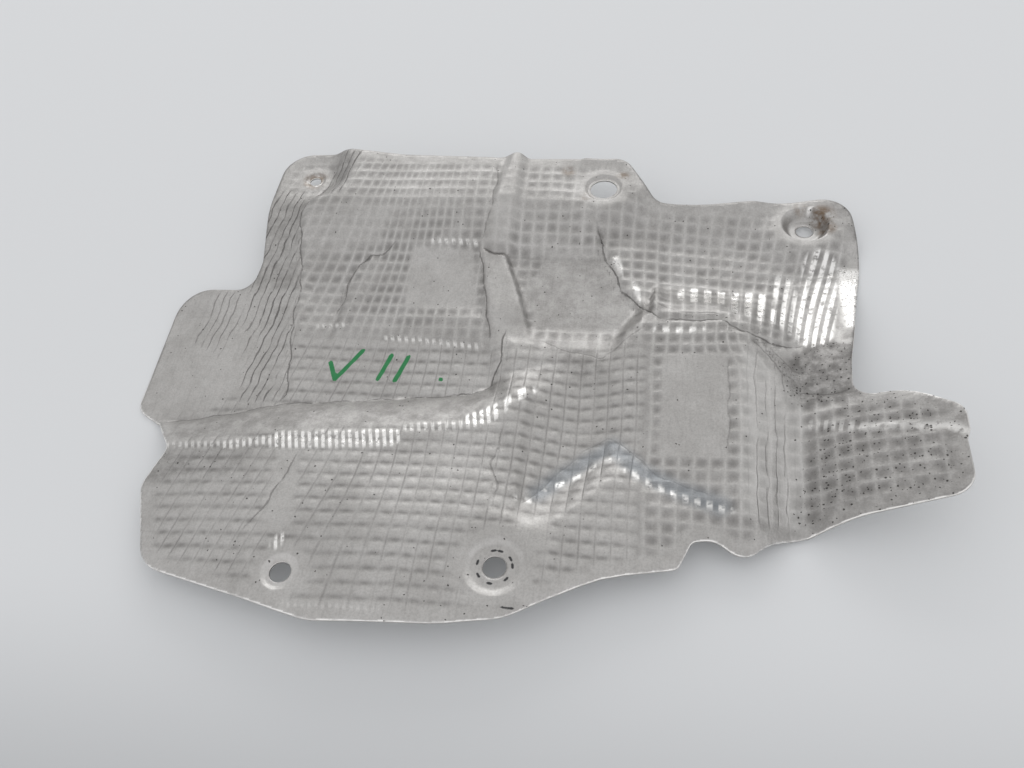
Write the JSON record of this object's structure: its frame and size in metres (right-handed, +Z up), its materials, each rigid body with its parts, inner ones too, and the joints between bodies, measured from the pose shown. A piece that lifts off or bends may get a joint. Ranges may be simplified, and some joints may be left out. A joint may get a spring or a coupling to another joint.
{
  "type": "heat shield",
  "caption": "Pressed aluminium exhaust heat shield with an embossed dimple pattern, stiffening ribs and bolt seats, lying as it rests.",
  "frame": {"origin": "below the middle of the sheet's box, level with its lowest point", "axes": "+X along the sheet's length towards the bent lobe, +Y across it towards the edge with the three upper bolt holes, +Z up from the surface that it lies on"},
  "size_m": [0.3495, 0.2564, 0.0296],
  "materials": {
    "sheet": "worn matt rolled aluminium with a pressed dimple grain, bright scuffs and dark specks"
  },
  "bodies": {
    "root": {"heat_shield": "sheet"}
  },
  "joints": []
}
